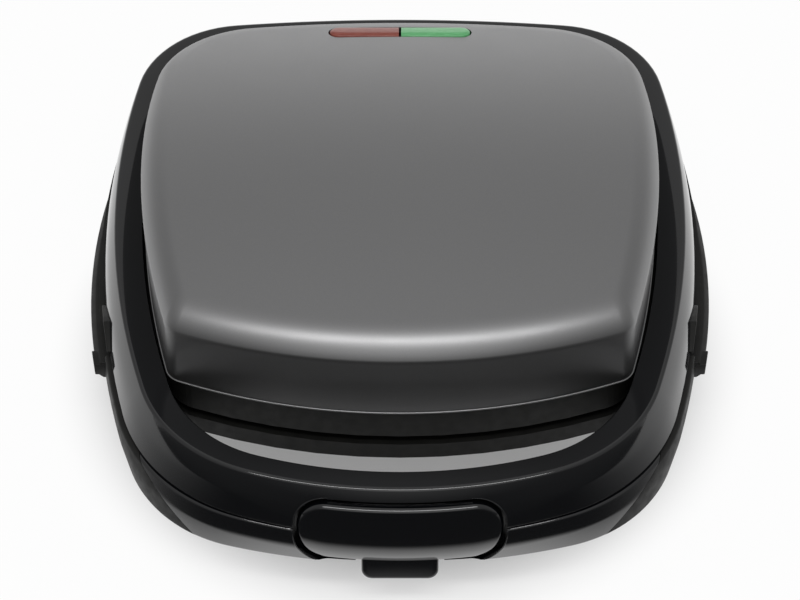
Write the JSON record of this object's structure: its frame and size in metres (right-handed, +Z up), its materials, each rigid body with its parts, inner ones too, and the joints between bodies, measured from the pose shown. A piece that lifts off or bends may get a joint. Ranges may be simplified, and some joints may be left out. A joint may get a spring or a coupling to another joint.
{
  "type": "sandwich maker",
  "caption": "Hinged countertop sandwich maker with a crowned lid, removable pocket plates, a closed handle loop and a front latch.",
  "frame": {"origin": "on the floor under the middle of the outer box, with the lid closed", "axes": "+Z up, -Y towards the handle and latch, +X to the right seen from the front"},
  "size_m": [0.2448, 0.2682, 0.097],
  "materials": {
    "matt_black": "fine matt grain, heat-resistant moulding",
    "gloss_black": "high gloss moulded black",
    "grey_paint": "dark grey metallic paint under clear coat",
    "nonstick": "satin dark non-stick coat on cast aluminium",
    "heater_steel": "heat-tinted tube",
    "bright_sheet": "pressed bright sheet",
    "ceramic_body": "unglazed off-white",
    "rubber_black": "matt rubber",
    "zinc_steel": "zinc-plated",
    "red_window": "translucent red",
    "green_window": "translucent green",
    "lamp_glass": "small clear lamp"
  },
  "bodies": {
    "base": {"base_housing": "matt_black", "base_handle": "gloss_black", "base_carrier": "matt_black", "lower_plate": "nonstick", "lower_element": "heater_steel", "lower_reflector": "bright_sheet", "thermostat": "ceramic_body", "terminal_block": "ceramic_body", "cord_inlet": "rubber_black", "hinge_pin_left": "zinc_steel", "hinge_pin_right": "zinc_steel", "foot_front_left": "rubber_black", "foot_front_right": "rubber_black", "foot_rear_left": "rubber_black", "foot_rear_right": "rubber_black", "base_screw_front_left": "zinc_steel", "base_screw_front_right": "zinc_steel", "base_screw_rear_left": "zinc_steel", "base_screw_rear_right": "zinc_steel"},
    "lid": {"lid_cover": "grey_paint", "lid_ring": "gloss_black", "lid_carrier": "matt_black", "upper_plate": "nonstick", "upper_element": "heater_steel", "upper_reflector": "bright_sheet", "red_lens": "red_window", "green_lens": "green_window", "lamp_holder": "ceramic_body", "red_neon": "lamp_glass", "green_neon": "lamp_glass", "thermal_fuse": "zinc_steel", "latch_pin": "zinc_steel"},
    "latch": {"latch": "gloss_black"},
    "lid_release_left": {"lid_release_left": "matt_black"},
    "lid_release_right": {"lid_release_right": "matt_black"},
    "base_release_left": {"base_release_left": "matt_black"},
    "base_release_right": {"base_release_right": "matt_black"}
  },
  "joints": [
    {"name": "lid_hinge", "type": "hinge", "parent": "base", "child": "lid", "pos_m": [0, 0.112, 0.0375], "axis": [-1, 0, 0], "range_deg": [0, 95]},
    {"name": "latch_pivot", "type": "hinge", "parent": "lid", "child": "latch", "pos_m": [0, -0.1218, 0.0581], "axis": [-1, 0, 0], "range_deg": [0, 15], "stiffness_Nm_per_rad": 0.05},
    {"name": "lid_release_left_push", "type": "slide", "parent": "lid", "child": "lid_release_left", "axis": [1, 0, 0], "range_m": [0, 0.003], "stiffness_N_per_m": 500},
    {"name": "lid_release_right_push", "type": "slide", "parent": "lid", "child": "lid_release_right", "axis": [-1, 0, 0], "range_m": [0, 0.003], "stiffness_N_per_m": 500},
    {"name": "base_release_left_push", "type": "slide", "parent": "base", "child": "base_release_left", "axis": [1, 0, 0], "range_m": [0, 0.003], "stiffness_N_per_m": 500},
    {"name": "base_release_right_push", "type": "slide", "parent": "base", "child": "base_release_right", "axis": [-1, 0, 0], "range_m": [0, 0.003], "stiffness_N_per_m": 500}
  ]
}
